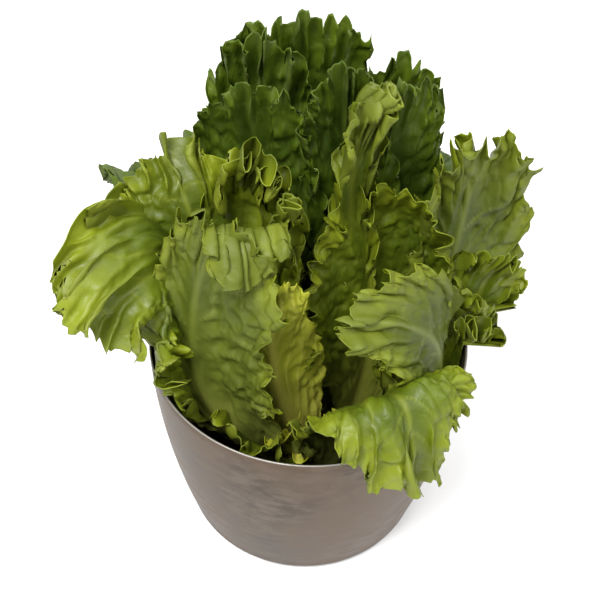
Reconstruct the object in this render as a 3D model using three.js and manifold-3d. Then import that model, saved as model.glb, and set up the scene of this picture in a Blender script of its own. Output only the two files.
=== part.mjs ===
// Batavia lettuce: one loose head of separate leaves on a short stem, standing in a plain tapered metal pot.
// Millimetres. +Z is up, +X is to the right and +Y to the back. The origin is the centre of the pot's
// flat underside.
import * as THREE from "three";
import { mergeVertices } from "three/addons/utils/BufferGeometryUtils.js";
import Module from "manifold-3d";

// Pot
const potHeight = 134.5;
const potBaseRadius = 72.8;
const potRimRadius = 90;
const potFlare = 1.9; // how fast the wall stands up: 1 is a plain cone
const potWall = 1.2;
const potFloor = 2;
const potCorner = 7; // radius between the floor and the wall
const potSides = 48;
const potWallSteps = 7;

// Stem of the lettuce
const stemRadius = 12;
const stemTopRadius = 4;
const stemHeight = 40;
const stemBevel = 1.5;
const stemCrown = 2; // height of the low cone on top
const stemWaist = 0.3; // share of its height at which the stem starts to narrow
const stemSides = 16;

// Leaves
const bladeThickness = 1.1;
const ribThickness = 3.4; // extra thickness of the midrib where the leaf leaves the stem
const ribReach = 0.75; // share of the leaf's length at which the midrib has run out
const ribWidth = 0.3; // share of the half width that the midrib takes
const acrossSteps = 6;
const alongSteps = 8;
const ribSamples = 120;
const touchGap = 0.3; // clear space kept under the stem
const taperStart = 0.02; // share of the length at which the blade starts to widen
const cupTurn = [0.25, 0.9]; // between these shares of the length the lower cup turns into the upper one
const rippleEdge = 0.45; // ripples start at this share of the half width
const rippleRise = [0.25, 0.6]; // and grow between these shares of the length
const rippleShare = 0.6; // part of each leaf's wave height that its ripples reach
const secondRipple = 1.9; // rate of the smaller ripples against the main ones
const cutGap = 0.8; // clear space cut between leaves before their faces are made coarser
const coarseness = 0.05;
const potClearance = 3; // leaf surfaces stay this far from the pot's wall
const rimZone = 6; // a leaf bends over the rim this far above it
const lowestLeaf = 5;

const green = 0x6d9a2b;
const yellowGreen = 0x9cb83f;
const darkGreen = 0x2f5c16;
const whiteGreen = 0xc9d08a;

const steel = new THREE.MeshStandardMaterial({ color: 0x8c837b, roughness: 0.45, metalness: 0.9 });
const stemFlesh = new THREE.MeshStandardMaterial({ color: 0xdde0b4, roughness: 0.6, metalness: 0 });

const wasm = await Module();
wasm.setup();

const clamp01 = (x) => Math.min(1, Math.max(0, x));
function smooth(a, b, x) {
  const t = clamp01((x - a) / (b - a));
  return t * t * (3 - 2 * t);
}

// Radius of the pot's outer wall at a height.
function potRadius(z) {
  const t = clamp01(z / potHeight);
  return potBaseRadius + (potRimRadius - potBaseRadius) * (1 - (1 - t) ** potFlare);
}

// The pot is one thin spun shell with a flat floor and a rounded corner. extra grows its wall on both sides.
function potGeometry(extra = 0) {
  const wallPoint = (i, inset) => {
    const z = potCorner + ((potHeight - potCorner) * i) / potWallSteps;
    const lift = i === potWallSteps ? extra : 0;
    return new THREE.Vector2(potRadius(z) - inset, z + lift);
  };
  const profile = [new THREE.Vector2(0, -extra)];
  const cornerSteps = 4;
  for (let i = 0; i < cornerSteps; i++) {
    const a = (i / cornerSteps) * (Math.PI / 2);
    const r = potRadius(potCorner) - potCorner + (potCorner + extra) * Math.sin(a);
    profile.push(new THREE.Vector2(r, potCorner - (potCorner + extra) * Math.cos(a)));
  }
  for (let i = 0; i <= potWallSteps; i++) profile.push(wallPoint(i, -extra));
  for (let i = potWallSteps; i >= 0; i--) profile.push(wallPoint(i, potWall + extra));
  profile.push(new THREE.Vector2(potRadius(potCorner) - potCorner, potFloor + extra));
  profile.push(new THREE.Vector2(0, potFloor + extra));
  return new THREE.LatheGeometry(profile, potSides).rotateX(Math.PI / 2);
}

// The short stem stands on the pot's floor and narrows upwards. extra grows it outwards.
function stemGeometry(extra = 0) {
  const foot = potFloor + touchGap;
  const profile = [
    new THREE.Vector2(0, foot - extra),
    new THREE.Vector2(stemRadius - stemBevel + extra, foot - extra),
    new THREE.Vector2(stemRadius + extra, foot + stemBevel),
    new THREE.Vector2(stemRadius + extra, stemHeight * stemWaist),
    new THREE.Vector2(stemTopRadius + extra, stemHeight - stemCrown),
    new THREE.Vector2(0, stemHeight + extra),
  ];
  return new THREE.LatheGeometry(profile, stemSides).rotateX(Math.PI / 2);
}

// Samples along a leaf's midrib. Each has a place, a direction up to the leaf's upper side, and one across.
function ribFrames(leaf) {
  const points = leaf.rib.map((p) => new THREE.Vector3(...p));
  const curve = new THREE.CatmullRomCurve3(points, false, "catmullrom", 0.5);
  const places = curve.getSpacedPoints(ribSamples);
  const facing = leaf.face ?? [-points[0].x, -points[0].y, 8];
  let up = new THREE.Vector3(...facing);
  return places.map((place, i) => {
    const next = places[Math.min(i + 1, ribSamples)];
    const last = places[Math.max(i - 1, 0)];
    const along = next.clone().sub(last).normalize();
    up = up.clone().addScaledVector(along, -up.dot(along)).normalize();
    return { place, up, across: new THREE.Vector3().crossVectors(along, up) };
  });
}

// A point of the leaf's middle surface. u runs from -1 to 1 across it, and v from 0 at the stem to 1.
function bladePoint(leaf, frames, u, v) {
  const { half, base = 8, cup = [30, 30, 10, 10], wave = 6, freq = 6, seed = 1 } = leaf;
  const { squareness = 0.8, skew = [1, 1], droop = [0, 0], widest = 0.62 } = leaf;
  const w = 2 * v - 1;
  const dx = u * Math.sqrt(1 - (squareness * w * w) / 2);
  const dy = w * Math.sqrt(1 - (squareness * u * u) / 2);
  const t = (dy + 1) / 2;
  const taper = base / half + (1 - base / half) * smooth(taperStart, widest, t);
  const side = dx < 0 ? 0 : 1;
  const x = half * dx * taper * skew[side];

  // The cross-section is an arc on each side of the midrib, from a lower cup to an upper one.
  const k = smooth(...cupTurn, t);
  const degrees = cup[side] * (1 - k) + cup[side + 2] * k || 1e-4;
  const bend = (degrees * Math.PI) / 180 / half;
  const reach = Math.abs(x);
  const out = (Math.sign(x) * Math.sin(bend * reach)) / bend;
  let lift = (1 - Math.cos(bend * reach)) / bend;
  const edge = Math.max(Math.abs(u), Math.max(w, 0));
  const angle = Math.atan2(dx, dy + 0.35) * freq;
  const ripple = Math.sin(angle + seed) + 0.5 * Math.sin(secondRipple * angle + 2.3 * seed);
  lift += rippleShare * wave * smooth(rippleEdge, 1, edge) * smooth(...rippleRise, t) * ripple;

  const at = t * ribSamples;
  const i = Math.min(Math.floor(at), ribSamples - 1);
  const a = frames[i];
  const b = frames[i + 1];
  const p = a.place.clone().lerp(b.place, at - i);
  p.z -= droop[side] * (x / half) ** 2;
  p.addScaledVector(a.across.clone().lerp(b.across, at - i), out);
  p.addScaledVector(a.up.clone().lerp(b.up, at - i), lift);

  // The blade stays inside the pot, or outside it past the share of its length where it hangs over.
  const r = Math.hypot(p.x, p.y);
  const hangs = leaf.over !== undefined && t >= leaf.over;
  const room = potClearance + bladeThickness;
  if (p.z < potHeight + rimZone) {
    const limit = hangs ? Math.max(r, potRadius(p.z) + room) : Math.min(r, potRadius(p.z) - room);
    p.x *= limit / r;
    p.y *= limit / r;
  }
  p.z = Math.max(p.z, lowestLeaf);
  return p;
}

// Half the blade's thickness: thick along the midrib near the stem, and thin at the margin.
function halfThickness(u, v) {
  const rib = Math.max(0, 1 - Math.abs(u) / ribWidth) * (1 - smooth(0, ribReach, v));
  return (bladeThickness + ribThickness * rib) / 2;
}

// A leaf is a flat sheet bent into shape, with an upper side, an underside and a narrow rim between them.
// extra grows it all round, for cutting room into its neighbours.
function leafGeometry(leaf, extra = 0) {
  const frames = ribFrames(leaf);
  const sheet = new THREE.PlaneGeometry(2, 1, acrossSteps, alongSteps);
  const place = sheet.attributes.position;
  const flat = place.clone();
  for (let n = 0; n < place.count; n++) {
    const p = bladePoint(leaf, frames, flat.getX(n), 0.5 + flat.getY(n));
    place.setXYZ(n, p.x, p.y, p.z);
  }
  sheet.computeVertexNormals();
  const at = (i, j) => (alongSteps - j) * (acrossSteps + 1) + i;
  const point = (n) => new THREE.Vector3().fromBufferAttribute(place, n);

  const sides = [];
  for (const side of [1, -1]) {
    for (let n = 0; n < place.count; n++) {
      const v = 0.5 + flat.getY(n);
      const i = Math.round(((flat.getX(n) + 1) / 2) * acrossSteps);
      const j = Math.round(v * alongSteps);
      const within = at(clampStep(i, acrossSteps), clampStep(j, alongSteps));
      const p = point(n);
      const outwards = p.clone().sub(point(within)).normalize();
      const up = new THREE.Vector3().fromBufferAttribute(sheet.attributes.normal, n);
      p.addScaledVector(outwards, extra);
      p.addScaledVector(up, side * (halfThickness(flat.getX(n), v) + extra));
      sides.push(p.x, p.y, p.z);
    }
  }

  const below = place.count;
  const faces = [];
  for (let n = 0; n < sheet.index.count; n += 3) {
    const [a, b, c] = [0, 1, 2].map((k) => sheet.index.getX(n + k));
    faces.push(a, b, c, below + a, below + c, below + b);
  }
  const rim = [];
  for (let i = 0; i < acrossSteps; i++) rim.push(at(i, 0));
  for (let j = 0; j < alongSteps; j++) rim.push(at(acrossSteps, j));
  for (let i = acrossSteps; i > 0; i--) rim.push(at(i, alongSteps));
  for (let j = alongSteps; j > 0; j--) rim.push(at(0, j));
  rim.forEach((a, n) => {
    const b = rim[(n + 1) % rim.length];
    faces.push(b, a, below + a, b, below + a, below + b);
  });
  const solid = new THREE.BufferGeometry();
  solid.setAttribute("position", new THREE.BufferAttribute(new Float32Array(sides), 3));
  return solid.setIndex(faces);
}

// The nearest step that isn't on the sheet's rim.
function clampStep(step, steps) {
  return Math.min(Math.max(step, 1), steps - 1);
}

function toSolid(geometry) {
  const bare = geometry.clone();
  bare.deleteAttribute("normal");
  bare.deleteAttribute("uv");
  const merged = mergeVertices(bare, 1e-4);
  return new wasm.Manifold(
    new wasm.Mesh({
      numProp: 3,
      vertProperties: new Float32Array(merged.attributes.position.array),
      triVerts: new Uint32Array(merged.index.array),
    }),
  );
}

function toGeometry(solid) {
  const mesh = solid.getMesh();
  const geometry = new THREE.BufferGeometry();
  geometry.setAttribute("position", new THREE.BufferAttribute(mesh.vertProperties, 3));
  geometry.setIndex(new THREE.BufferAttribute(mesh.triVerts, 1));
  return geometry.toNonIndexed();
}

// The leaves, from the heart outwards. rib holds the midrib's points from the stem to the tip. half is the
// half width; cup gives the degrees that the left and right sides curl up, at the stem and then at the tip,
// and below zero they bend down. face points to the upper side at the stem.
const front = [0, 1, 0];
const behind = [0, -1, 0.2];
const leaves = [
  {
    name: "heart_rib_leaf",
    color: yellowGreen,
    rib: [[2, -9, 34], [-4, -20, 65], [-15, -26, 110], [-20, -26, 157], [-21, -28, 204]],
    half: 27,
    base: 11,
    cup: [40, 40, 40, 50],
    wave: 1.5,
    seed: 1,
    widest: 0.5,
    face: front,
  },
  {
    name: "front_heart_a_leaf",
    color: whiteGreen,
    rib: [[6, -10, 30], [9, -25, 58], [12, -33, 84], [13, -40, 92]],
    half: 17,
    base: 6,
    seed: 20,
    wave: 3,
  },
  {
    name: "front_heart_b_leaf",
    color: whiteGreen,
    rib: [[-2, -13, 28], [-2, -28, 58], [-3, -36, 84], [-3, -43, 92]],
    half: 17,
    base: 6,
    seed: 21,
    wave: 3,
  },
  {
    name: "inner_frill_leaf",
    color: yellowGreen,
    rib: [[-6, 5, 36], [-8, 3, 69], [-15, 4, 141], [-17, 2, 197], [-14, -2, 235]],
    half: 16,
    base: 7,
    seed: 6,
    wave: 4,
    freq: 5,
  },
  {
    name: "big_cup_leaf",
    color: green,
    rib: [[7, 6, 34], [26, 12, 33], [38, 30, 78], [37, 42, 129], [27, 44, 179], [21, 36, 206]],
    half: 78,
    cup: [50, 90, 50, 150],
    seed: 7,
    wave: 3,
    face: [-0.2, -1, 0],
  },
  {
    name: "curl_strip_leaf",
    color: green,
    rib: [[2, 9, 36], [21, 24, 44], [26, 38, 115], [22, 42, 177], [21, 38, 223], [27, 38, 259], [36, 42, 275]],
    half: 13,
    base: 7,
    seed: 24,
    face: behind,
    wave: 5,
    freq: 5,
  },
  {
    name: "mid_curl_leaf",
    color: green,
    rib: [[-6, 8, 32], [-15, 18, 50], [-27, 28, 123], [-33, 30, 185], [-35, 24, 222], [-27, 14, 247]],
    half: 26,
    seed: 23,
    face: behind,
    wave: 6,
    freq: 6,
  },
  {
    name: "left_fold_leaf",
    color: green,
    rib: [[-14, 2, 30], [-24, 0, 87], [-34, 2, 150], [-38, 0, 198], [-36, -10, 223], [-34, -26, 223], [-32, -34, 205]],
    half: 30,
    seed: 3,
    cup: [10, 10, -25, -25],
    wave: 4,
    face: [0, -1, 0],
  },
  {
    name: "front_left_leaf",
    color: green,
    rib: [[-13, -7, 22], [-40, -30, 80], [-59, -26, 117], [-62, -20, 163], [-54, -17, 209], [-46, -14, 236]],
    half: 74,
    base: 10,
    cup: [-50, -40, -60, -40],
    seed: 2,
    skew: [0.8, 0.4],
    face: [0.2, 1, 0],
    droop: [22, 0],
    wave: 5,
  },
  {
    name: "right_fan_leaf",
    color: yellowGreen,
    rib: [[13, -5, 26], [50, -14, 49], [72, -18, 105], [67, -28, 160], [44, -45, 194], [17, -58, 207]],
    half: 32,
    seed: 8,
    cup: [20, 20, -20, -20],
    freq: 6,
    wave: 2,
  },
  {
    name: "right_wrinkled_leaf",
    color: green,
    rib: [[15, -1, 22], [48, 4, 46], [72, 10, 89], [77, 8, 141], [68, -4, 181]],
    half: 34,
    seed: 18,
    cup: [40, 40, 20, 20],
    face: behind,
    wave: 4,
  },
  {
    name: "front_right_leaf",
    color: yellowGreen,
    rib: [[10, -17, 12], [21, -39, 80], [36, -61, 154], [45, -75, 174], [52, -87, 163], [56, -94, 128]],
    half: 46,
    seed: 9,
    cup: [30, 30, -25, -15],
    wave: 5,
    over: 0.72,
  },
  {
    name: "left_sprawl_leaf",
    color: green,
    rib: [[-17, -1, 14], [-56, -2, 68], [-73, 0, 116], [-73, 2, 160], [-79, -8, 188], [-94, -30, 189], [-106, -48, 174]],
    half: 56,
    seed: 4,
    cup: [30, 30, -30, -40],
    freq: 8,
    wave: 8,
    over: 0.6,
  },
  {
    name: "upper_left_leaf",
    color: yellowGreen,
    rib: [[-13, 7, 22], [-34, 9, 62], [-54, 14, 145], [-62, 18, 187], [-70, 25, 217], [-79, 38, 236]],
    half: 54,
    seed: 5,
    cup: [20, 20, 10, 10],
    wave: 6,
    face: [0.3, -1, 0],
  },
  {
    name: "right_pale_leaf",
    color: green,
    rib: [[14, 8, 18], [62, 30, 39], [74, 40, 88], [82, 48, 142], [86, 52, 190], [85, 44, 241]],
    half: 46,
    seed: 10,
    cup: [20, 20, -10, -10],
    face: [0.2, 1, 0],
    wave: 5,
    skew: [1, 0.6],
  },
  {
    name: "right_tip_leaf",
    color: green,
    rib: [[17, 1, 14], [71, 14, 70], [91, 22, 118], [99, 24, 159], [108, 18, 184]],
    half: 26,
    seed: 11,
    face: behind,
    wave: 4,
  },
  {
    name: "back_right_leaf",
    color: darkGreen,
    rib: [[8, 13, 22], [27, 45, 34], [35, 58, 104], [39, 62, 164], [40, 62, 214], [41, 51, 268]],
    half: 38,
    seed: 12,
    cup: [40, 30, 30, 0],
    face: behind,
    wave: 5,
  },
  {
    name: "back_middle_leaf",
    color: darkGreen,
    rib: [[1, 11, 30], [16, 35, 46], [19, 52, 118], [18, 56, 187], [14, 56, 242], [9, 46, 282]],
    half: 30,
    seed: 13,
    cup: [40, 40, 20, 20],
    wave: 4,
    face: behind,
  },
  {
    name: "back_left_leaf",
    color: darkGreen,
    rib: [[-6, 10, 26], [-8, 35, 44], [-15, 46, 113], [-26, 52, 175], [-33, 50, 234], [-36, 40, 272]],
    half: 37,
    seed: 14,
    cup: [30, 30, 20, 20],
    face: behind,
    wave: 5,
  },
  {
    name: "front_small_leaf",
    color: green,
    rib: [[-9, -13, 20], [-22, -28, 57], [-36, -42, 90], [-40, -56, 102]],
    half: 30,
    base: 7,
    seed: 22,
    wave: 4,
  },
  {
    name: "right_rim_leaf",
    color: green,
    rib: [[15, -8, 12], [56, -10, 58], [86, -6, 91], [92, -4, 130], [91, -8, 161]],
    half: 20,
    seed: 19,
    face: behind,
    wave: 3,
  },
  {
    name: "rear_top_leaf",
    color: darkGreen,
    rib: [[-1, 16, 14], [4, 50, 28], [-1, 69, 98], [-7, 80, 177], [-10, 82, 244], [-8, 74, 294]],
    half: 48,
    seed: 15,
    cup: [20, 20, -20, -20],
    face: behind,
    squareness: 0.6,
    wave: 6,
  },
  {
    name: "rear_left_leaf",
    color: darkGreen,
    rib: [[-7, 15, 12], [-16, 45, 27], [-25, 62, 100], [-29, 70, 180], [-30, 72, 240], [-29, 63, 286]],
    half: 36,
    seed: 16,
    cup: [20, 20, 0, 0],
    face: behind,
    wave: 6,
  },
  {
    name: "rear_right_leaf",
    color: darkGreen,
    rib: [[4, 16, 12], [22, 46, 27], [29, 68, 102], [33, 75, 181], [35, 76, 235], [39, 70, 270]],
    half: 39,
    seed: 17,
    cup: [20, 20, 0, 0],
    face: behind,
    wave: 6,
  },
  {
    name: "rear_drape_mid_leaf",
    color: darkGreen,
    rib: [[-1, 17, 6], [-2, 60, 20], [-3, 79, 60], [-3, 90, 130], [-3, 104, 180], [-4, 126, 196], [-5, 144, 172]],
    half: 62,
    seed: 25,
  },
  {
    name: "rear_drape_right_leaf",
    color: darkGreen,
    rib: [[10, 13, 6], [35, 49, 20], [45, 65, 60], [49, 75, 130], [58, 89, 176], [70, 106, 186], [79, 119, 164]],
    half: 43,
    seed: 26,
  },
  {
    name: "rear_drape_left_leaf",
    color: darkGreen,
    rib: [[-12, 12, 6], [-42, 43, 20], [-55, 57, 60], [-63, 65, 130], [-73, 75, 176], [-87, 90, 186], [-97, 101, 164]],
    half: 56,
    seed: 27,
  },
];

const group = new THREE.Group();
function addMesh(name, geometry, material) {
  geometry.computeVertexNormals();
  const mesh = new THREE.Mesh(geometry, material);
  mesh.name = name;
  group.add(mesh);
}

addMesh("pot", potGeometry(), steel);
addMesh("stem", stemGeometry(), stemFlesh);

// Each leaf gives way to the ones placed before it, and what is left of it stays one body.
const taken = [toSolid(stemGeometry(cutGap)), toSolid(potGeometry(cutGap))];
for (const leaf of leaves) {
  let solid = toSolid(leafGeometry(leaf));
  for (const other of taken) solid = solid.subtract(other);
  const bodies = solid.simplify(coarseness).decompose().sort((a, b) => b.volume() - a.volume());
  const finish = new THREE.MeshStandardMaterial({ color: leaf.color, roughness: 0.45, metalness: 0 });
  addMesh(leaf.name, toGeometry(bodies[0]), finish);
  taken.push(toSolid(leafGeometry(leaf, cutGap)));
}

export default group;
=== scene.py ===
import math
import bmesh
import bpy
import numpy as np
from mathutils import Euler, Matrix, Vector, noise


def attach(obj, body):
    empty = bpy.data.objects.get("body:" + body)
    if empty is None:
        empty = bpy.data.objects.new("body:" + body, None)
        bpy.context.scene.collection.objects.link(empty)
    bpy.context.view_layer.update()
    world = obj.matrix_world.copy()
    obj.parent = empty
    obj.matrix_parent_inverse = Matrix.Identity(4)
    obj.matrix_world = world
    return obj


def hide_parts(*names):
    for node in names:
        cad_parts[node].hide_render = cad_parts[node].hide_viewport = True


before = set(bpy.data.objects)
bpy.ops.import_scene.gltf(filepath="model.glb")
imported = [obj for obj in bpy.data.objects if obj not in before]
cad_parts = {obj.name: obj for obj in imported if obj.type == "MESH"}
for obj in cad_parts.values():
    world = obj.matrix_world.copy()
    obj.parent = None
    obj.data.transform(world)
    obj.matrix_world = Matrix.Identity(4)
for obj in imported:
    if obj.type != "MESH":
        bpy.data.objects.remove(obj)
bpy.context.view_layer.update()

from types import SimpleNamespace

# Studio: a pale floor, a large soft key light high on the left, a fill on the right and a back light. The
# camera looks down on the head from the front.
mm = 0.001
view_down = math.radians(46.33)
view_roll = math.radians(2.01)
view_distance = 548 * mm
view_target = Vector((-5.6, 0, 162)) * mm

camera = bpy.data.objects.new("camera", bpy.data.cameras.new("camera"))
camera.data.lens = 60
camera.data.clip_start = 0.01
turn = Euler((math.pi / 2 - view_down, 0, 0)).to_matrix() @ Euler((0, 0, view_roll)).to_matrix()
camera.rotation_euler = turn.to_euler()
camera.location = view_target + turn @ Vector((0, 0, view_distance))
bpy.context.scene.collection.objects.link(camera)
bpy.context.scene.camera = camera


def soft_light(name, azimuth, height, power, size):
    lamp = bpy.data.objects.new(name, bpy.data.lights.new(name, "AREA"))
    lamp.data.energy = power
    lamp.data.size = size
    away = Euler((0, math.radians(90 - height), math.radians(azimuth))).to_matrix() @ Vector((0, 0, 1.4))
    lamp.location = view_target + away
    lamp.rotation_euler = away.to_track_quat("Z", "Y").to_euler()
    bpy.context.scene.collection.objects.link(lamp)


soft_light("key", azimuth=-125, height=58, power=26, size=0.55)
soft_light("fill", azimuth=-35, height=50, power=12, size=1.1)
soft_light("rim", azimuth=80, height=50, power=9, size=0.9)

world = bpy.data.worlds.new("studio")
world.use_nodes = True
world.node_tree.nodes["Background"].inputs["Color"].default_value = (1, 1, 1, 1)
world.node_tree.nodes["Background"].inputs["Strength"].default_value = 0.55
bpy.context.scene.world = world
bpy.context.scene.view_settings.view_transform = "Standard"

bm = bmesh.new()
bmesh.ops.create_grid(bm, x_segments=1, y_segments=1, size=6)
floor_mesh = bpy.data.meshes.new("floor")
bm.to_mesh(floor_mesh)
bm.free()
floor = bpy.data.objects.new("floor", floor_mesh)
bpy.context.scene.collection.objects.link(floor)
floor_paint = bpy.data.materials.new("floor_paint")
floor_paint.use_nodes = True
floor_shader = floor_paint.node_tree.nodes["Principled BSDF"]
floor_shader.inputs["Base Color"].default_value = (0.93, 0.93, 0.93, 1)
floor_shader.inputs["Roughness"].default_value = 0.9
floor_mesh.materials.append(floor_paint)

# Pot: spun from thin steel sheet, with a flat floor, a rounded corner and a wall that flares to a bare cut
# rim. Long use has left it dull, faintly stained in bands, and scratched. Brown patches in its colour are
# painted reflections, and a thin band along the top of the rim is a painted highlight.
pot_height = 134.5 * mm
pot_base_radius = 72.8 * mm
pot_rim_radius = 90 * mm
pot_flare = 1.9
pot_wall = 1.2 * mm
pot_floor = 2 * mm
pot_corner = 7 * mm
pot_lip = 0.4 * mm  # height of the rounded edge of the rim
pot_lip_inset = 0.3 * mm
pot_corner_steps = 8
pot_wall_steps = 22
pot_spin_steps = 144
rim_highlight_band = (133.9 * mm, 134.3 * mm)  # heights between which the painted highlight along the top of the rim begins


class Socket:
    """A node socket of a material, whose arithmetic adds Math nodes."""

    def __init__(self, tree, link=None):
        self.tree = tree
        self.link = link

    def node(self, kind, settings=None, values=None, out=0):
        made = self.tree.nodes.new(kind)
        for key, value in (settings or {}).items():
            setattr(made, key, value)
        for key, value in (values or {}).items():
            if isinstance(key, int):
                socket = made.inputs[key]
            else:
                socket = next(s for s in made.inputs if s.enabled and key in (s.identifier, s.name))
            if isinstance(value, Socket):
                self.tree.links.new(value.link, socket)
            else:
                socket.default_value = value
        return Socket(self.tree, made.outputs[out] if made.outputs else None)

    def math(self, operation, *others):
        made = self.tree.nodes.new("ShaderNodeMath")
        made.operation = operation
        for socket, value in zip(made.inputs, others):
            if isinstance(value, Socket):
                self.tree.links.new(value.link, socket)
            else:
                socket.default_value = value
        return Socket(self.tree, made.outputs[0])

    def __add__(self, other):
        return self.math("ADD", self, other)

    __radd__ = __add__

    def __sub__(self, other):
        return self.math("SUBTRACT", self, other)

    def __rsub__(self, other):
        return self.math("SUBTRACT", other, self)

    def __mul__(self, other):
        return self.math("MULTIPLY", self, other)

    __rmul__ = __mul__

    def smooth(self, low, high):
        values = {"Value": self, "From Min": low, "From Max": high}
        return self.node("ShaderNodeMapRange", {"interpolation_type": "SMOOTHSTEP"}, values)

    def mix(self, color_a, color_b):
        """The colour between two, with this socket as the factor."""
        values = {"Factor_Float": self, "A_Color": color_a, "B_Color": color_b}
        return self.node("ShaderNodeMix", {"data_type": "RGBA"}, values, out=2)


def new_material(name):
    material = bpy.data.materials.new(name)
    material.use_nodes = True
    material.node_tree.nodes.clear()
    return material, Socket(material.node_tree)


def rgb(red, green, blue):
    return (red, green, blue, 1)


def pot_wall_radius(z):
    up = np.clip(z / pot_height, 0, 1)
    return pot_base_radius + (pot_rim_radius - pot_base_radius) * (1 - (1 - up) ** pot_flare)


def pot_profile():
    corner = []
    for a in np.linspace(0, math.pi / 2, pot_corner_steps + 1):
        r = pot_wall_radius(pot_corner) - pot_corner * (1 - math.sin(a))
        corner.append((r, pot_corner * (1 - math.cos(a))))
    heights = np.linspace(pot_corner, pot_height - pot_lip, pot_wall_steps)[1:]
    wall = [(pot_wall_radius(z), z) for z in heights]
    lip = [(pot_rim_radius - pot_lip_inset, pot_height),
           (pot_rim_radius - pot_wall + pot_lip_inset, pot_height)]
    inner = [(r - pot_wall, max(z, pot_wall)) for r, z in reversed(wall)]
    bottom = [(pot_wall_radius(pot_corner) - pot_corner, pot_floor), (0, pot_floor)]
    return [(0, 0)] + corner + wall + lip + inner + bottom


bm = bmesh.new()
ring = [bm.verts.new((r, 0, z)) for r, z in pot_profile()]
edges = [bm.edges.new(pair) for pair in zip(ring, ring[1:])]
bmesh.ops.spin(bm, geom=ring + edges, axis=(0, 0, 1), cent=(0, 0, 0), angle=2 * math.pi,
               steps=pot_spin_steps, use_merge=True)
bmesh.ops.remove_doubles(bm, verts=bm.verts, dist=0.01 * mm)
bmesh.ops.recalc_face_normals(bm, faces=bm.faces)
pot_mesh = bpy.data.meshes.new("pot_shell")
bm.to_mesh(pot_mesh)
bm.free()
pot_mesh.shade_smooth()
pot = bpy.data.objects.new("pot_shell", pot_mesh)
bpy.context.scene.collection.objects.link(pot)

steel, s = new_material("worn_steel")
place = s.node("ShaderNodeTexCoord", out=3)
stretched = s.node("ShaderNodeMapping", {}, {"Vector": place, "Scale": (1, 1, 2.4)})
stains = s.node("ShaderNodeTexNoise", {}, {"Vector": stretched, "Scale": 70, "Detail": 6, "Roughness": 0.66})
patches = s.node("ShaderNodeTexNoise", {}, {"Vector": place, "Scale": 13, "Detail": 3})
fine_map = s.node("ShaderNodeMapping", {}, {"Vector": place, "Scale": (1, 1, 14)})
grain = s.node("ShaderNodeTexNoise", {}, {"Vector": fine_map, "Scale": 160, "Detail": 4})
scratch_map = s.node("ShaderNodeMapping", {},
                     {"Vector": place, "Rotation": (0.4, 0.9, 0.6), "Scale": (1, 1, 9)})
scratch_cells = s.node("ShaderNodeTexVoronoi", {"feature": "DISTANCE_TO_EDGE"},
                       {"Vector": scratch_map, "Scale": 26})
scratch = 1 - scratch_cells.smooth(0.0, 0.012)
scratched = scratch * patches.smooth(0.56, 0.66)
tone = stains.smooth(0.36, 0.66)
# Painted reflection: brown patches, placed at random, stand in for brownish surroundings reflected in the
# steel.
brown_reflection_patches = patches.smooth(0.40, 0.62)
metal = tone.mix(rgb(0.062, 0.046, 0.034), rgb(0.150, 0.122, 0.096))
metal = (brown_reflection_patches * 0.6).mix(metal, rgb(0.120, 0.082, 0.056))
metal = (scratched * 0.6).mix(metal, rgb(0.02, 0.017, 0.015))
rim_height = s.node("ShaderNodeSeparateXYZ", {}, {"Vector": place}, out=2)
# Painted highlight: the steel is painted lighter in a thin band along the top edge of the rim.
metal = rim_height.smooth(*rim_highlight_band).mix(metal, rgb(0.32, 0.30, 0.27))
rough = 0.40 + 0.16 * tone + 0.08 * grain
relief = s.node("ShaderNodeBump", {}, {"Height": grain * 0.4 + scratched * -1, "Distance": 0.00012,
                                      "Strength": 0.5})
skin = s.node("ShaderNodeBsdfPrincipled", {}, {"Base Color": metal, "Metallic": 0.9, "Roughness": rough,
                                              "Normal": relief})
s.node("ShaderNodeOutputMaterial", {}, {"Surface": skin})
pot_mesh.materials.append(steel)
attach(pot, "root")
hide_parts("pot")

# Stem: the short pale stump that every leaf grows from. It stands on the pot's floor and its cut end is
# underneath, with a skin that is wet and slightly ribbed by the leaf bases.
flesh, s = new_material("stem_flesh")
place = s.node("ShaderNodeTexCoord", out=3)
streak_map = s.node("ShaderNodeMapping", {}, {"Vector": place, "Scale": (1, 1, 0.15)})
streaks = s.node("ShaderNodeTexNoise", {}, {"Vector": streak_map, "Scale": 420, "Detail": 3})
pale = streaks.smooth(0.35, 0.7).mix(rgb(0.52, 0.56, 0.22), rgb(0.72, 0.74, 0.42))
relief = s.node("ShaderNodeBump", {}, {"Height": streaks, "Distance": 0.0004, "Strength": 0.6})
skin = s.node("ShaderNodeBsdfPrincipled", {}, {"Base Color": pale, "Roughness": 0.4, "Normal": relief})
s.node("ShaderNodeOutputMaterial", {}, {"Surface": skin})
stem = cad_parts["stem"]
stem.data.materials.clear()
stem.data.materials.append(flesh)

# Heart leaves: the young pale leaves in the middle, thick and juicy along the midrib. Every leaf of the head
# is one blade on a midrib that bends out from the stem, cupped across, with a frilled and toothed margin.
blade_thickness = 0.45 * mm
rib_thickness = 4.2 * mm
rib_reach = 0.8  # share of a leaf's length at which the midrib has run out
rib_samples = 200
steps_across = 60  # steps of a blade's grid on each side of its midrib
steps_along = 96
pot_clearance = 3.2
rim_zone = 6
lowest_leaf = 5
lobe_length = 24
horn_length = 21
tooth_length = 6.5
vein_gap = 26
blister_size = 11
uv_width = 300  # millimetres of leaf that the texture space spans
plain_leaf = dict(base=8, cup=(30, 30, 10, 10), wide=0.62, squareness=0.8, skew=(1, 1), droop=(0, 0),
                  face=None, over=2, frill=1.0, pillow=1.0, horns=0.35, vein_slope=1.1)
# The length of each ruffle, its height, how far in it starts, how sharp its crest is and how far it leans.
ruffles = [(50, 6.0, 0.30, 0.6, 0.20), (23, 6.8, 0.45, 0.9, 0.50), (12, 5.4, 0.54, 0.9, 0.45),
           (6.5, 2.6, 0.74, 0.7, 0.40)]


def smooth(low, high, x):
    t = np.clip((x - low) / (high - low), 0, 1)
    return t * t * (3 - 2 * t)


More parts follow.
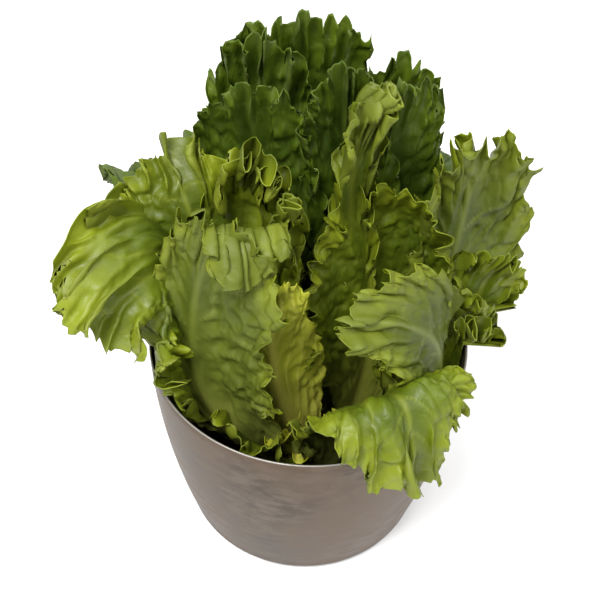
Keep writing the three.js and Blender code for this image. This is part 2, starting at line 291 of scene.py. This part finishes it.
def noise_field(x, y, size, seed):
    """Smooth noise from about -1 to 1 over flat places given in millimetres."""
    flat = zip(np.ravel(x) / size, np.ravel(y) / size)
    return np.array([noise.noise(Vector((a, b, 7.31 * seed))) for a, b in flat]).reshape(x.shape) * 1.6


def cell_field(x, y, size, seed):
    """0 along the borders of irregular cells, rising to 1 inside them."""
    flat = zip(np.ravel(x) / size, np.ravel(y) / size)
    near = [noise.voronoi(Vector((a, b, 3.7 * seed)))[0] for a, b in flat]
    return np.array([d[1] - d[0] for d in near]).reshape(x.shape)


def smooth_curve(points):
    """Even samples along a curve through the points, and its length."""
    p = np.array(points, float)
    q = np.vstack([2 * p[0] - p[1], p, 2 * p[-1] - p[-2]])
    t = np.linspace(0, 1, 60)[:-1, None]
    runs = []
    for a, b, c, d in zip(q, q[1:], q[2:], q[3:]):
        square = (2 * a - 5 * b + 4 * c - d) * t**2
        cube = (3 * b - a - 3 * c + d) * t**3
        runs.append(0.5 * (2 * b + (c - a) * t + square + cube))
    curve = np.vstack(runs + [p[-1:]])
    run = np.concatenate([[0], np.cumsum(np.linalg.norm(np.diff(curve, axis=0), axis=1))])
    even = np.linspace(0, run[-1], rib_samples)
    return np.stack([np.interp(even, run, curve[:, k]) for k in range(3)], -1), run[-1]


def midrib(points, face):
    """The line of a leaf's midrib, with the ways along it, up from it and across it at each sample."""
    place, length = smooth_curve(points)
    along = np.gradient(place, axis=0)
    along /= np.linalg.norm(along, axis=1)[:, None]
    up = np.zeros_like(place)
    now = np.array(face or (-place[0, 0], -place[0, 1], 8), float)
    for i, direction in enumerate(along):
        now = now - direction * (now @ direction)
        now /= np.linalg.norm(now)
        up[i] = now
    return SimpleNamespace(place=place, length=length, along=along, up=up, across=np.cross(along, up))


def lay_out(flat, leaf, length):
    """Flat places over a blade in millimetres, from a grid of -1 to 1, and how each lies to the margin."""
    # The grid is closer near the margin and the tip, and only its first quarter covers the lower half.
    u = np.sign(flat[:, 0]) * (1 - (1 - np.abs(flat[:, 0])) ** 1.25)
    upper = np.clip((flat[:, 1] + 0.5) / 1.5, 0, 1)
    w = np.where(flat[:, 1] < -0.5, 1.8 * flat[:, 1] + 0.8, 1.1 * (1 - (1 - upper) ** 1.2) - 0.1)
    dx = u * np.sqrt(1 - leaf.squareness * w * w / 2)
    dy = w * np.sqrt(1 - leaf.squareness * u * u / 2)
    t = (dy + 1) / 2
    taper = leaf.base / leaf.half + (1 - leaf.base / leaf.half) * smooth(0.02, leaf.wide, t)
    x = leaf.half * dx * taper * np.where(dx < 0, *leaf.skew)
    away = np.arctan2(x, (t - 0.55) * length)
    return SimpleNamespace(
        u=u, t=t, x=x, y=t * length, left=dx < 0, out_x=np.sin(away), out_y=np.cos(away),
        margin=(np.abs(u) ** 5 + np.clip(w, 0, 1) ** 5) ** 0.2, grow=smooth(0.12, 0.5, t),
        round=np.arctan2(dx, dy + 0.45) * (0.5 * leaf.half + 0.28 * length))


def cut_outline(b, leaf):
    """The outline has slow lobes, a few drawn-out points and a fine saw edge."""
    def unevenness(size, extra):
        return noise_field(b.round, 0 * b.x, size, leaf.seed + extra)

    lobes = (7 * unevenness(lobe_length, 0) + 3 * unevenness(9, 5)) * smooth(0.55, 1, b.margin)
    spike = 1 - np.abs(np.sin(math.pi * (b.round / horn_length + 0.7 * unevenness(26, 8))))
    horns = leaf.horns * (11 * spike**1.8 - 2.5) * smooth(0.72, 1, b.margin)
    saw = (b.round / tooth_length + 0.8 * unevenness(8, 9)) % 1
    teeth = (3.4 * (1 - saw) ** 0.7 - 1.6) * smooth(0.90, 1, b.margin)
    reach = ((lobes + horns) * min(1, leaf.half / 40) + teeth) * b.grow
    b.x = b.x + b.out_x * reach
    b.y = b.y + b.out_y * reach


def blister(b, leaf):
    """Veins slope from the midrib towards the tip, and the blade swells in blisters between them."""
    wander = noise_field(b.x, b.y, 30, leaf.seed + 2)
    run = b.y - leaf.vein_slope * np.abs(b.x) * (1 - 0.0022 * np.abs(b.x))
    b.between = np.abs(np.sin(math.pi * (run / vein_gap + 0.5 * b.left + 0.6 * wander)))
    b.cells = cell_field(b.x + 5 * wander, b.y - 0.8 * np.abs(b.x), blister_size, leaf.seed)
    small_cells = cell_field(b.x, b.y, blister_size / 2, leaf.seed + 4)
    b.away = smooth(0, 14, np.abs(b.x)) * smooth(0.1, 0.35, b.t)
    swell = 1.5 * b.between**0.8 + 2.3 * smooth(0, 0.6, b.cells) + 0.8 * smooth(0, 0.6, small_cells)
    billow = 1.8 * noise_field(b.x, b.y, 30, leaf.seed + 6)
    b.swell = leaf.pillow * b.away * (swell * min(1, leaf.half / 34) + billow)
    b.groove = -1.6 * np.exp(-((b.x / (6 - 4 * b.t)) ** 2)) * (1 - 0.7 * b.t)


def ruffle(b, leaf):
    """Ruffles grow towards the margin, the finer ones nearer the edge. Their folds wander and lean over."""
    drift = noise_field(b.round, b.margin * 20, 40, leaf.seed + 3)
    wind = noise_field(b.x, b.y, 17, leaf.seed + 13)
    b.lift = np.zeros_like(b.x)
    slide = np.zeros_like(b.x)
    for n, (size, height, start, sharp, lean) in enumerate(ruffles):
        phase = 2 * math.pi * b.round / size + 5 * drift / (n + 1) + leaf.seed * (n + 1.7) + 1.3 * wind
        uneven = noise_field(b.round, b.margin * 12, size * 1.3, leaf.seed + 11 + n)
        loose = noise_field(b.round, b.margin * size * 0.8, size * 0.42, leaf.seed + 21 + n)
        height = height * leaf.frill * min(1, leaf.half / size) * np.clip(0.65 + 0.75 * uneven, 0.1, 1.5)
        height = height * smooth(start, 1.02, b.margin) ** 1.4 * b.grow
        b.lift += height * (0.65 * np.sin(phase + sharp * np.sin(phase)) + 0.7 * loose)
        slide += height * lean * np.cos(phase)
    b.x = b.x + b.out_y * slide - b.out_x * 0.35 * np.abs(b.lift)
    b.y = b.y - b.out_x * slide - b.out_y * 0.35 * np.abs(b.lift)


def curl_across(b, leaf):
    """Each side of a blade is an arc. Gives how far out and up from the midrib it takes each place."""
    k = smooth(0.25, 0.9, b.t)
    side = np.where(b.x < 0, 0, 1)
    cup = np.array(leaf.cup)
    bend = np.radians(cup[side] * (1 - k) + cup[side + 2] * k + 0.01) / leaf.half
    turned = bend * np.abs(b.x)
    push = b.lift + b.swell + b.groove
    out = np.sign(b.x) * (np.sin(turned) / bend - np.sin(turned) * push)
    return out, (1 - np.cos(turned)) / bend + np.cos(turned) * push


def bend_along(b, leaf, rib, out, up):
    """Places of the blade in the pot's frame, in millimetres."""
    s = np.clip(b.y / rib.length, 0, 1) * (rib_samples - 1)
    i = np.clip(s.astype(int), 0, rib_samples - 2)
    f = (s - i)[:, None]
    beyond = b.y - np.clip(b.y, 0, rib.length)
    point = rib.place[i] * (1 - f) + rib.place[i + 1] * f + rib.along[i] * beyond[:, None]
    point += (rib.across[i] * (1 - f) + rib.across[i + 1] * f) * out[:, None]
    point += (rib.up[i] * (1 - f) + rib.up[i + 1] * f) * up[:, None]
    point[:, 2] -= np.array(leaf.droop)[np.where(b.x < 0, 0, 1)] * (b.x / leaf.half) ** 2
    return point


def hold_in_pot(point, t, over):
    """The pot's wall holds a blade in, except past the share of its length where it hangs over the rim."""
    r = np.hypot(point[:, 0], point[:, 1])
    wall = pot_wall_radius(point[:, 2] * mm) / mm
    limit = np.where(t >= over, np.maximum(r, wall + 1.2), np.minimum(r, wall - pot_clearance))
    held = point[:, 2] < pot_height / mm + rim_zone
    point[:, :2] *= np.where(held, limit / np.maximum(r, 0.01), 1)[:, None]
    point[:, 2] = np.maximum(point[:, 2], lowest_leaf)


def leaf_masks(b, leaf):
    """What the leaf's materials read: its veins, how far up and out a place lies, and how raised it is."""
    veins = np.exp(-((b.between / 0.16) ** 2)) * smooth(1, 0.2, np.abs(b.u)) * smooth(0.05, 0.25, b.t)
    net = 0.3 * np.exp(-((b.cells / 0.10) ** 2)) * b.away
    midline = np.exp(-((b.x / (1.3 + 4.5 * (1 - b.t) ** 1.5)) ** 2))
    rib = np.clip(1 - np.abs(b.x) / (leaf.base * 1.1 + 3), 0, 1) * (1 - smooth(0, rib_reach, b.t))
    # How raised a place is; the leaf colour uses it to paint shade into the low places.
    crest = np.clip(0.5 + (b.swell + 0.25 * b.lift) / 8, 0, 1)
    return {"vein": np.maximum(np.maximum(veins, net), midline), "along": b.t, "margin": b.margin * b.grow,
            "rib": rib, "crest": crest}


def blade_mesh(name, leaf, fine):
    """The upper side of a leaf as a bent grid, with the masks that its materials and its thickness read."""
    rib = midrib(leaf.rib, leaf.face)
    detail = fine * 1
    bm = bmesh.new()
    bmesh.ops.create_grid(bm, x_segments=2 * int(steps_across * detail), y_segments=int(steps_along * detail),
                          size=1)
    b = lay_out(np.array([v.co[:2] for v in bm.verts]), leaf, rib.length)
    cut_outline(b, leaf)
    blister(b, leaf)
    ruffle(b, leaf)
    point = bend_along(b, leaf, rib, *curl_across(b, leaf))
    hold_in_pot(point, b.t, leaf.over)
    for vertex, place in zip(bm.verts, point * mm):
        vertex.co = place
    uv_layer = bm.loops.layers.uv.new("leaf")
    for face in bm.faces:
        for loop in face.loops:
            n = loop.vert.index
            loop[uv_layer].uv = (b.x[n] / uv_width + 0.5, b.y[n] / uv_width)
    mesh = bpy.data.meshes.new(name)
    bm.to_mesh(mesh)
    bm.free()
    mesh.shade_smooth()
    masks = leaf_masks(b, leaf)
    for label, values in masks.items():
        layer = mesh.attributes.new(label, "FLOAT", "POINT")
        layer.data.foreach_set("value", values.astype(np.float32))
    return mesh, masks["rib"]


def thicken(blade, rib):
    """Gives a blade its thickness, which is greatest along the midrib. The underside has its own material."""
    thickest = blade_thickness + rib_thickness
    group = blade.vertex_groups.new(name="thickness")
    for n, share in enumerate((blade_thickness + rib_thickness * rib**1.3) / thickest):
        group.add([n], float(share), "REPLACE")
    solid = blade.modifiers.new("thickness", "SOLIDIFY")
    solid.thickness = thickest
    solid.offset = -1
    solid.vertex_group = "thickness"
    solid.material_offset = 1
    solid.material_offset_rim = 0
    solid.use_quality_normals = True


def make_leaf(name, rib, half, finish, slot, seed, fine=1.0, **changes):
    leaf = SimpleNamespace(rib=rib, half=half, seed=seed, **{**plain_leaf, **changes})
    mesh, rib_mask = blade_mesh(name, leaf, fine)
    for material in finish:
        mesh.materials.append(material)
    blade = bpy.data.objects.new(name, mesh)
    bpy.context.scene.collection.objects.link(blade)
    thicken(blade, rib_mask)
    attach(blade, "root")
    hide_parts(name + "_leaf")


def leaf_color(s, mask, fine_net, mottle, tints, vein_show):
    """The green of one side of a leaf, from its shaded hollows to its lit crests, margin, veins and ribs."""
    deep, bright, vein, stem_end, edge = tints
    place = s.node("ShaderNodeTexCoord", out=3)
    cloud = s.node("ShaderNodeTexNoise", {}, {"Vector": place, "Scale": 26, "Detail": 3})
    color = cloud.smooth(0.3, 0.7).mix(deep, bright)
    color = (0.35 * mottle.smooth(0.35, 0.75)).mix(color, bright)
    color = (0.75 * mask["margin"].smooth(0.55, 1.0)).mix(color, edge)
    # Painted shade: the low places between blisters and ruffles are darkened toward the deep tint.
    color = (0.6 * (1 - mask["crest"].smooth(0.35, 0.85))).mix(color, deep)
    color = (0.85 * mask["along"].smooth(0.62, 0.08)).mix(color, stem_end)
    color = (vein_show * mask["vein"]).mix(color, vein)
    color = (0.08 * fine_net).mix(color, vein)
    return mask["rib"].smooth(0.1, 0.8).mix(color, stem_end)


def leaf_side(name, tints, glow, gloss, vein_show):
    """The material of one side of a leaf, with some of the light coming through the blade."""
    material, s = new_material(name)
    leaf_place = s.node("ShaderNodeUVMap", {"uv_map": "leaf"})
    mask = {}
    for label in ("vein", "along", "margin", "rib", "crest"):
        mask[label] = s.node("ShaderNodeAttribute", {"attribute_name": label}, out=2)
    mottle = s.node("ShaderNodeTexNoise", {}, {"Vector": leaf_place, "Scale": 60, "Detail": 5})
    crinkle = s.node("ShaderNodeTexNoise", {}, {"Vector": leaf_place, "Scale": 170, "Detail": 3})
    shift = s.node("ShaderNodeTexNoise", {}, {"Vector": leaf_place, "Scale": 30, "Detail": 2}, out=1)
    bent = s.node("ShaderNodeVectorMath", {"operation": "MULTIPLY_ADD"},
                  {0: shift, 1: (0.03, 0.03, 0), 2: leaf_place})
    net = s.node("ShaderNodeTexVoronoi", {"feature": "DISTANCE_TO_EDGE"}, {"Vector": bent, "Scale": 62})
    fine_net = 1 - net.smooth(0.0, 0.09)
    height = 0.3 * mottle + 0.22 * crinkle - 0.15 * fine_net - 0.5 * mask["vein"]
    relief = s.node("ShaderNodeBump", {}, {"Height": height, "Distance": 0.0006, "Strength": 0.6})
    skin = s.node("ShaderNodeBsdfPrincipled", {}, {
        "Base Color": leaf_color(s, mask, fine_net, mottle, tints, vein_show),
        "Roughness": gloss + 0.18 * mottle + 0.10 * (1 - mask["vein"]),
        "Specular IOR Level": 0.4, "Normal": relief})
    through = s.node("ShaderNodeBsdfTranslucent", {}, {"Color": glow})
    both = s.node("ShaderNodeMixShader", {}, {0: 0.22, 1: skin, 2: through})
    s.node("ShaderNodeOutputMaterial", {}, {"Surface": both})
    return material


heart_glow = rgb(0.50, 0.52, 0.02)
heart_tints = (rgb(0.27, 0.30, 0.010), rgb(0.46, 0.48, 0.024), rgb(0.72, 0.67, 0.11), rgb(0.68, 0.63, 0.11),
               rgb(0.50, 0.52, 0.030))
heart_under_tints = (rgb(0.29, 0.32, 0.018), rgb(0.45, 0.47, 0.032), rgb(0.70, 0.66, 0.12),
                     rgb(0.66, 0.62, 0.12), rgb(0.48, 0.50, 0.036))
heart_finish = (leaf_side("heart_upper", heart_tints, heart_glow, gloss=0.30, vein_show=0.85),
                leaf_side("heart_under", heart_under_tints, heart_glow, gloss=0.36, vein_show=0.85))
make_leaf("heart_rib", [(2, -9, 34), (-4, -20, 65), (-15, -26, 110), (-20, -26, 157), (-21, -28, 204)], 27,
          heart_finish, "heart_leaf", base=12, cup=(40, 40, 40, 50), wide=0.5, face=(0, 1, 0), seed=1,
          frill=0.4, pillow=0.9, vein_slope=4.5, fine=0.9)
make_leaf("front_heart_a", [(6, -10, 30), (9, -25, 58), (12, -33, 84), (13, -40, 92)], 17, heart_finish,
          "heart_leaf", base=6, seed=20, fine=0.55, frill=1.4)
make_leaf("front_heart_b", [(-2, -13, 28), (-2, -28, 58), (-3, -36, 84), (-3, -43, 92)], 17, heart_finish,
          "heart_leaf", base=6, seed=21, fine=0.55, frill=1.4)

# Inner leaves: the half-grown leaves round the heart. They stand up, and their tight bright frills show.
fresh_glow = rgb(0.19, 0.26, 0.004)
fresh_tints = (rgb(0.042, 0.070, 0.002), rgb(0.135, 0.185, 0.005), rgb(0.23, 0.27, 0.028),
               rgb(0.30, 0.32, 0.045), rgb(0.27, 0.32, 0.012))
fresh_under_tints = (rgb(0.064, 0.090, 0.005), rgb(0.125, 0.16, 0.012), rgb(0.20, 0.24, 0.036),
                     rgb(0.28, 0.30, 0.055), rgb(0.22, 0.26, 0.014))
fresh_finish = (leaf_side("fresh_upper", fresh_tints, fresh_glow, gloss=0.27, vein_show=0.6),
                leaf_side("fresh_under", fresh_under_tints, fresh_glow, gloss=0.38, vein_show=0.6))
make_leaf("inner_frill", [(-6, 5, 36), (-8, 3, 69), (-15, 4, 141), (-17, 2, 197), (-14, -2, 235)], 16,
          fresh_finish, "green_leaf", base=7, seed=6, frill=1.3, fine=0.7)
make_leaf("big_cup", [(7, 6, 34), (26, 12, 33), (38, 30, 78), (37, 42, 129), (27, 44, 179), (21, 36, 206)],
          78, fresh_finish, "green_leaf", cup=(50, 90, 50, 150), face=(-0.2, -1, 0), seed=7, frill=0.8)
make_leaf("curl_strip", [(2, 9, 36), (21, 24, 44), (26, 38, 115), (22, 42, 177), (21, 38, 223),
          (27, 38, 259), (36, 42, 275)], 13, fresh_finish, "green_leaf", base=7, face=(0, -1, 0.2), seed=24,
          frill=1.6, fine=0.8)
make_leaf("mid_curl", [(-6, 8, 32), (-15, 18, 50), (-27, 28, 123), (-33, 30, 185), (-35, 24, 222),
          (-27, 14, 247)], 26, fresh_finish, "green_leaf", face=(0, -1, 0.2), seed=23, frill=1.3)
make_leaf("left_fold", [(-14, 2, 30), (-24, 0, 87), (-34, 2, 150), (-38, 0, 198), (-36, -10, 223),
          (-34, -26, 223), (-32, -34, 205)], 30, fresh_finish, "green_leaf", cup=(10, 10, -25, -25),
          face=(0, -1, 0), seed=3)

# Front and side leaves: full-grown, broad and glossy. Some fold over, so their paler undersides show.
make_leaf("front_left", [(-13, -7, 22), (-40, -30, 80), (-59, -26, 117), (-62, -20, 163), (-54, -17, 209),
          (-46, -14, 236)], 74, fresh_finish, "green_leaf", base=10, cup=(-50, -40, -60, -40),
          skew=(0.8, 0.4), face=(0.2, 1, 0), droop=(22, 0), seed=2, frill=0.8)
make_leaf("front_small", [(-9, -13, 20), (-22, -28, 57), (-36, -42, 90), (-40, -56, 102)], 30, fresh_finish,
          "green_leaf", base=7, seed=22, fine=0.6)
make_leaf("right_fan", [(13, -5, 26), (50, -14, 49), (72, -18, 105), (67, -28, 160), (44, -45, 194),
          (17, -58, 207)], 32, fresh_finish, "green_leaf", cup=(20, 20, -20, -20), seed=8)
make_leaf("right_wrinkled", [(15, -1, 22), (48, 4, 46), (72, 10, 89), (77, 8, 141), (68, -4, 181)], 34,
          fresh_finish, "green_leaf", cup=(40, 40, 20, 20), face=(0, -1, 0.2), seed=18)
make_leaf("front_right", [(10, -17, 12), (21, -39, 80), (36, -61, 154), (45, -75, 174), (52, -87, 163),
          (56, -94, 128)], 46, fresh_finish, "green_leaf", cup=(30, 30, -25, -15), over=0.72, seed=9)
make_leaf("right_rim", [(15, -8, 12), (56, -10, 58), (86, -6, 91), (92, -4, 130), (91, -8, 161)], 20,
          fresh_finish, "green_leaf", face=(0, -1, 0.2), seed=19, fine=0.7)
make_leaf("left_sprawl", [(-17, -1, 14), (-56, -2, 68), (-73, 0, 116), (-73, 2, 160), (-79, -8, 188),
          (-94, -30, 189), (-106, -48, 174)], 56, fresh_finish, "green_leaf", cup=(30, 30, -30, -40),
          over=0.6, seed=4, fine=1.1, frill=1.25)
make_leaf("upper_left", [(-13, 7, 22), (-34, 9, 62), (-54, 14, 145), (-62, 18, 187), (-70, 25, 217),
          (-79, 38, 236)], 54, fresh_finish, "green_leaf", cup=(20, 20, 10, 10), face=(0.3, -1, 0), seed=5)
make_leaf("right_pale", [(14, 8, 18), (62, 30, 39), (74, 40, 88), (82, 48, 142), (86, 52, 190),
          (85, 44, 241)], 46, fresh_finish, "green_leaf", cup=(20, 20, -10, -10), skew=(1, 0.6),
          face=(0.2, 1, 0), seed=10, horns=0.7)
make_leaf("right_tip", [(17, 1, 14), (71, 14, 70), (91, 22, 118), (99, 24, 159), (108, 18, 184)], 26,
          fresh_finish, "green_leaf", face=(0, -1, 0.2), seed=11, fine=0.7)

# Back leaves: the tallest and oldest, dark green with pale veins. They stand against each other.
dark_glow = rgb(0.05, 0.11, 0.004)
dark_tints = (rgb(0.020, 0.044, 0.002), rgb(0.066, 0.112, 0.004), rgb(0.15, 0.21, 0.028),
              rgb(0.22, 0.27, 0.07), rgb(0.12, 0.18, 0.007))
dark_under_tints = (rgb(0.032, 0.056, 0.005), rgb(0.062, 0.095, 0.008), rgb(0.14, 0.18, 0.035),
                    rgb(0.22, 0.27, 0.09), rgb(0.09, 0.13, 0.009))
dark_finish = (leaf_side("dark_upper", dark_tints, dark_glow, gloss=0.28, vein_show=0.45),
               leaf_side("dark_under", dark_under_tints, dark_glow, gloss=0.38, vein_show=0.5))
upright = (0, -1, 0.2)
make_leaf("back_right", [(8, 13, 22), (27, 45, 34), (35, 58, 104), (39, 62, 164), (40, 62, 214),
          (41, 51, 268)], 38, dark_finish, "dark_leaf", cup=(40, 30, 30, 0), face=upright, seed=12,
          fine=0.8, horns=0.7, frill=0.6)
make_leaf("back_middle", [(1, 11, 30), (16, 35, 46), (19, 52, 118), (18, 56, 187), (14, 56, 242),
          (9, 46, 282)], 30, dark_finish, "dark_leaf", cup=(40, 40, 20, 20), face=upright, seed=13,
          fine=0.8, horns=0.7, frill=0.6)
make_leaf("back_left", [(-6, 10, 26), (-8, 35, 44), (-15, 46, 113), (-26, 52, 175), (-33, 50, 234),
          (-36, 40, 272)], 37, dark_finish, "dark_leaf", cup=(30, 30, 20, 20), face=upright, seed=14,
          fine=0.8, horns=0.7, frill=0.6)
make_leaf("rear_top", [(-1, 16, 14), (4, 50, 28), (-1, 69, 98), (-7, 80, 177), (-10, 82, 244),
          (-8, 74, 294)], 48, dark_finish, "dark_leaf", cup=(20, 20, -20, -20), squareness=0.6,
          face=upright, seed=15, fine=0.8, horns=0.7, frill=0.6)
make_leaf("rear_left", [(-7, 15, 12), (-16, 45, 27), (-25, 62, 100), (-29, 70, 180), (-30, 72, 240),
          (-29, 63, 286)], 36, dark_finish, "dark_leaf", cup=(20, 20, 0, 0), face=upright, seed=16,
          fine=0.75, horns=0.7, frill=0.6)
make_leaf("rear_right", [(4, 16, 12), (22, 46, 27), (29, 64, 102), (33, 75, 181), (35, 76, 235),
          (39, 70, 270)], 42, dark_finish, "dark_leaf", cup=(20, 20, 0, 0), face=upright, seed=17,
          fine=0.75, horns=0.7, frill=0.6)

# Draped leaves: outer leaves at the back that bend over the pot's rim and hang outside it.
make_leaf("rear_drape_mid", [(-1, 17, 6), (-2, 60, 20), (-3, 79, 60), (-3, 90, 130), (-3, 104, 180),
          (-4, 126, 196), (-5, 144, 172)], 62, dark_finish, "dark_leaf", seed=25, fine=0.75)
make_leaf("rear_drape_right", [(10, 13, 6), (33, 50, 20), (43, 66, 60), (49, 75, 130), (58, 89, 176),
          (70, 106, 186), (79, 119, 164)], 46, dark_finish, "dark_leaf", seed=26, fine=0.75)
make_leaf("rear_drape_left", [(-12, 12, 6), (-42, 43, 20), (-55, 57, 60), (-63, 65, 130), (-73, 75, 176),
          (-87, 90, 186), (-97, 101, 164)], 56, dark_finish, "dark_leaf", seed=27, fine=0.75)
